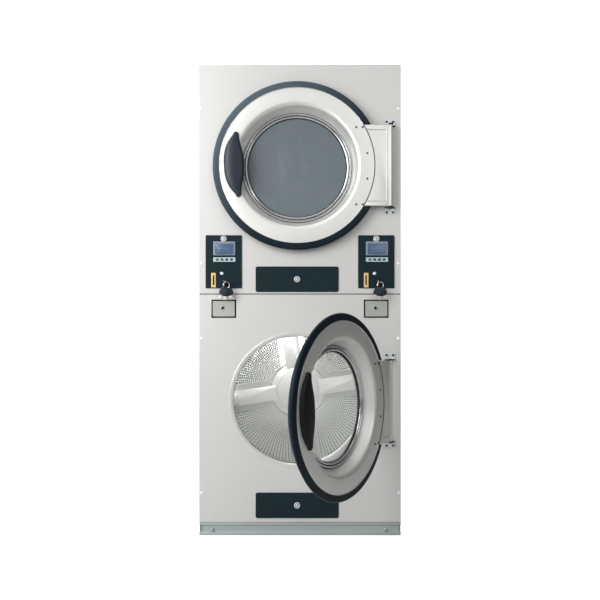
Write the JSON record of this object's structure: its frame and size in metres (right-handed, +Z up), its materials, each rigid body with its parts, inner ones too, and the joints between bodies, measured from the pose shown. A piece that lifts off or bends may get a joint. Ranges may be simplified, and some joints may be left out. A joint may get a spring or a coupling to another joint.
{
  "type": "stack dryer",
  "caption": "Coin-operated double stack tumble dryer with two round glass doors, perforated drums, lint drawers, coin vaults and belt drives.",
  "frame": {"origin": "on the floor, at the centre of the cabinet's footprint", "axes": "+X to the right seen from the front, +Y to the back, +Z up"},
  "size_m": [0.88, 1.8501, 2.054],
  "materials": {
    "cabinet_paint": "satin warm light grey enamel",
    "plinth_steel": "worn grey-green paint",
    "galvanized_steel": "spangled zinc coat",
    "stainless_steel": "brushed",
    "machined_steel": "turned",
    "cast_iron": "as cast, oiled",
    "rim_plastic": "fine grain",
    "handle_plastic": "smooth",
    "door_glass": "clear tempered",
    "belt_rubber": "matt",
    "motor_paint": "semi-gloss",
    "dark_panel_paint": "fine texture",
    "chrome": "polished",
    "button_plastic": "smooth"
  },
  "bodies": {
    "cabinet": {"base_frame": "plinth_steel", "left_side_panel": "cabinet_paint", "right_side_panel": "cabinet_paint", "top_panel": "cabinet_paint", "rear_panel": "galvanized_steel", "mid_deck": "galvanized_steel", "lower_front_panel": "cabinet_paint", "lower_bulkhead": "galvanized_steel", "lower_hinge_bracket_top": "stainless_steel", "lower_hinge_bracket_bottom": "stainless_steel", "lower_bearing_housing": "cast_iron", "lower_belt": "belt_rubber", "lower_motor": "motor_paint", "lower_exhaust_duct": "galvanized_steel", "upper_front_panel": "cabinet_paint", "upper_bulkhead": "galvanized_steel", "upper_hinge_bracket_top": "stainless_steel", "upper_hinge_bracket_bottom": "stainless_steel", "upper_bearing_housing": "cast_iron", "upper_belt": "belt_rubber", "upper_motor": "motor_paint", "upper_exhaust_duct": "galvanized_steel", "left_control_plate": "dark_panel_paint", "right_control_plate": "dark_panel_paint"},
    "lower_door": {"lower_door_rim": "rim_plastic", "lower_door_frame": "stainless_steel", "lower_door_glass": "door_glass", "lower_door_handle": "handle_plastic", "lower_hinge_plate": "stainless_steel"},
    "lower_drum_set": {"lower_drum": "stainless_steel", "lower_drum_shaft": "machined_steel", "lower_drum_pulley": "cast_iron"},
    "lower_motor_set": {"lower_motor_pulley": "cast_iron", "lower_blower_wheel": "galvanized_steel"},
    "lower_lint_set": {"lower_lint_drawer": "dark_panel_paint"},
    "lower_lint_lock_set": {"lower_lint_lock": "chrome"},
    "upper_door": {"upper_door_rim": "rim_plastic", "upper_door_frame": "stainless_steel", "upper_door_glass": "door_glass", "upper_door_handle": "handle_plastic", "upper_hinge_plate": "stainless_steel"},
    "upper_drum_set": {"upper_drum": "stainless_steel", "upper_drum_shaft": "machined_steel", "upper_drum_pulley": "cast_iron"},
    "upper_motor_set": {"upper_motor_pulley": "cast_iron", "upper_blower_wheel": "galvanized_steel"},
    "upper_lint_set": {"upper_lint_drawer": "dark_panel_paint"},
    "upper_lint_lock_set": {"upper_lint_lock": "chrome"},
    "left_vault_set": {"left_coin_vault": "cabinet_paint"},
    "left_key_set": {"left_key_switch": "chrome"},
    "left_button_1_set": {"left_button_1": "button_plastic"},
    "left_button_2_set": {"left_button_2": "button_plastic"},
    "left_button_3_set": {"left_button_3": "button_plastic"},
    "left_button_4_set": {"left_button_4": "button_plastic"},
    "right_vault_set": {"right_coin_vault": "cabinet_paint"},
    "right_key_set": {"right_key_switch": "chrome"},
    "right_button_1_set": {"right_button_1": "button_plastic"},
    "right_button_2_set": {"right_button_2": "button_plastic"},
    "right_button_3_set": {"right_button_3": "button_plastic"},
    "right_button_4_set": {"right_button_4": "button_plastic"}
  },
  "joints": [
    {"name": "lower_door_swing", "type": "hinge", "parent": "cabinet", "child": "lower_door", "pos_m": [0.392, -0.603, 0.59], "axis": [0, 0, 1], "range_deg": [-56.7, 113.3]},
    {"name": "lower_drum_spin", "type": "hinge", "parent": "cabinet", "child": "lower_drum_set", "pos_m": [-0.0126, 0, 0.59], "axis": [0, 1, 0], "continuous": true},
    {"name": "lower_motor_spin", "type": "hinge", "parent": "cabinet", "child": "lower_motor_set", "pos_m": [0.2374, 0, 0.19], "axis": [0, 1, 0], "continuous": true},
    {"name": "lower_lint_slide", "type": "slide", "parent": "cabinet", "child": "lower_lint_set", "axis": [0, -1, 0], "range_m": [0, 0.45]},
    {"name": "lower_lint_lock_turn", "type": "hinge", "parent": "lower_lint_set", "child": "lower_lint_lock_set", "pos_m": [-0.0126, -0.565, 0.132], "axis": [0, 1, 0], "range_deg": [0, 90]},
    {"name": "upper_door_swing", "type": "hinge", "parent": "cabinet", "child": "upper_door", "pos_m": [0.392, -0.603, 1.607], "axis": [0, 0, 1], "range_deg": [0, 170]},
    {"name": "upper_drum_spin", "type": "hinge", "parent": "cabinet", "child": "upper_drum_set", "pos_m": [-0.0126, 0, 1.607], "axis": [0, 1, 0], "continuous": true},
    {"name": "upper_motor_spin", "type": "hinge", "parent": "cabinet", "child": "upper_motor_set", "pos_m": [0.2374, 0, 1.207], "axis": [0, 1, 0], "continuous": true},
    {"name": "upper_lint_slide", "type": "slide", "parent": "cabinet", "child": "upper_lint_set", "axis": [0, -1, 0], "range_m": [0, 0.45]},
    {"name": "upper_lint_lock_turn", "type": "hinge", "parent": "upper_lint_set", "child": "upper_lint_lock_set", "pos_m": [-0.0126, -0.565, 1.1185], "axis": [0, 1, 0], "range_deg": [0, 90]},
    {"name": "left_vault_slide", "type": "slide", "parent": "cabinet", "child": "left_vault_set", "axis": [0, -1, 0], "range_m": [0, 0.15]},
    {"name": "left_key_turn", "type": "hinge", "parent": "cabinet", "child": "left_key_set", "pos_m": [-0.3278, -0.565, 1.1], "axis": [0, 1, 0], "range_deg": [0, 90]},
    {"name": "left_button_1_press", "type": "slide", "parent": "cabinet", "child": "left_button_1_set", "axis": [0, 1, 0], "range_m": [0, 0.0022], "stiffness_N_per_m": 300},
    {"name": "left_button_2_press", "type": "slide", "parent": "cabinet", "child": "left_button_2_set", "axis": [0, 1, 0], "range_m": [0, 0.0022], "stiffness_N_per_m": 300},
    {"name": "left_button_3_press", "type": "slide", "parent": "cabinet", "child": "left_button_3_set", "axis": [0, 1, 0], "range_m": [0, 0.0022], "stiffness_N_per_m": 300},
    {"name": "left_button_4_press", "type": "slide", "parent": "cabinet", "child": "left_button_4_set", "axis": [0, 1, 0], "range_m": [0, 0.0022], "stiffness_N_per_m": 300},
    {"name": "right_vault_slide", "type": "slide", "parent": "cabinet", "child": "right_vault_set", "axis": [0, -1, 0], "range_m": [0, 0.15]},
    {"name": "right_key_turn", "type": "hinge", "parent": "cabinet", "child": "right_key_set", "pos_m": [0.3374, -0.565, 1.1], "axis": [0, 1, 0], "range_deg": [0, 90]},
    {"name": "right_button_1_press", "type": "slide", "parent": "cabinet", "child": "right_button_1_set", "axis": [0, 1, 0], "range_m": [0, 0.0022], "stiffness_N_per_m": 300},
    {"name": "right_button_2_press", "type": "slide", "parent": "cabinet", "child": "right_button_2_set", "axis": [0, 1, 0], "range_m": [0, 0.0022], "stiffness_N_per_m": 300},
    {"name": "right_button_3_press", "type": "slide", "parent": "cabinet", "child": "right_button_3_set", "axis": [0, 1, 0], "range_m": [0, 0.0022], "stiffness_N_per_m": 300},
    {"name": "right_button_4_press", "type": "slide", "parent": "cabinet", "child": "right_button_4_set", "axis": [0, 1, 0], "range_m": [0, 0.0022], "stiffness_N_per_m": 300}
  ],
  "couplings": [
    {"joint": "lower_motor_spin", "follows": "lower_drum_spin", "ratio": 8},
    {"joint": "upper_motor_spin", "follows": "upper_drum_spin", "ratio": 8}
  ]
}
